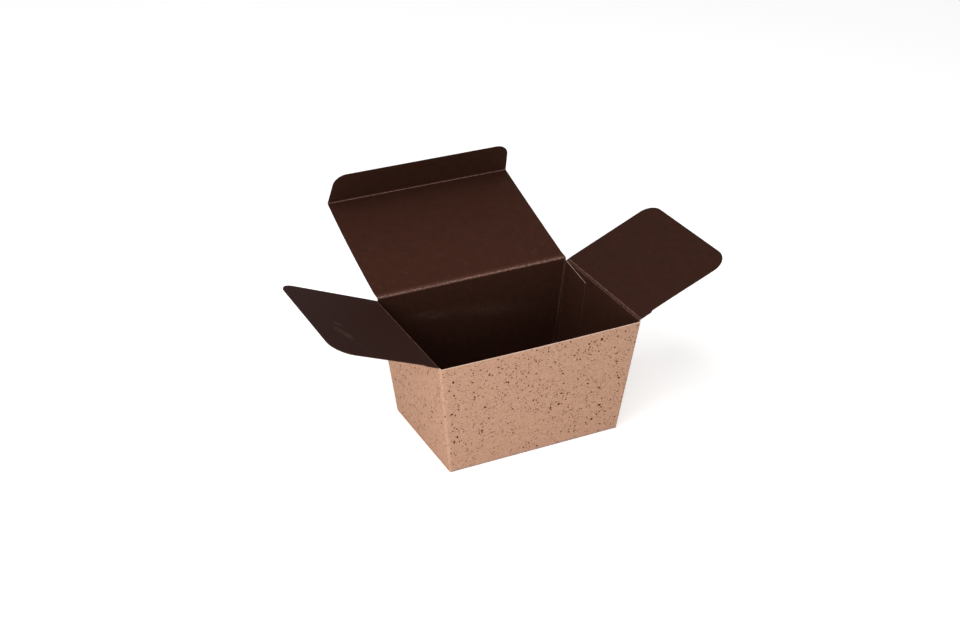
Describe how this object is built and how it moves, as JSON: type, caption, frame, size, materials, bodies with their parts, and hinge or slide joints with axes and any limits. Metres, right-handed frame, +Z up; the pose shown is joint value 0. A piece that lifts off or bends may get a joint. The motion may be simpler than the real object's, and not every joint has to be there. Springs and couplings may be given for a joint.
{
  "type": "praline box",
  "caption": "Small tapered folding box of two-sided card, open, with side flaps and a hinged lid that ends in a tuck flap.",
  "frame": {"origin": "on the table, under the middle of the bottom", "axes": "+X to the right along the front wall, +Y from the front wall to the rear wall with the lid's fold, +Z up"},
  "size_m": [0.1933, 0.1344, 0.0965],
  "materials": {
    "kraft_card": "matt, warm kraft brown with fine dark flecks",
    "cocoa_card": "dark brown printed inside, faint satin sheen",
    "raw_edge": "pale cut edge of the card"
  },
  "bodies": {
    "box": {"box_body": "kraft_card"},
    "left_flap": {"left_flap": "cocoa_card"},
    "right_flap": {"right_flap": "cocoa_card"},
    "lid": {"lid_panel": "cocoa_card"},
    "tuck": {"tuck_flap": "cocoa_card"}
  },
  "joints": [
    {"name": "left_flap_fold", "type": "hinge", "parent": "box", "child": "left_flap", "pos_m": [-0.04983, 0, 0.058], "axis": [0, 1, 0], "range_deg": [-72.7, 157.3]},
    {"name": "right_flap_fold", "type": "hinge", "parent": "box", "child": "right_flap", "pos_m": [0.04983, 0, 0.058], "axis": [0, -1, 0], "range_deg": [-73.4, 156]},
    {"name": "lid_fold", "type": "hinge", "parent": "box", "child": "lid", "pos_m": [0, 0.03442, 0.05905], "axis": [1, 0, 0], "range_deg": [-47.5, 162.5]},
    {"name": "tuck_fold", "type": "hinge", "parent": "lid", "child": "tuck", "pos_m": [0, 0.0996, 0.0796], "axis": [1, 0, 0], "range_deg": [-105, 3]}
  ]
}
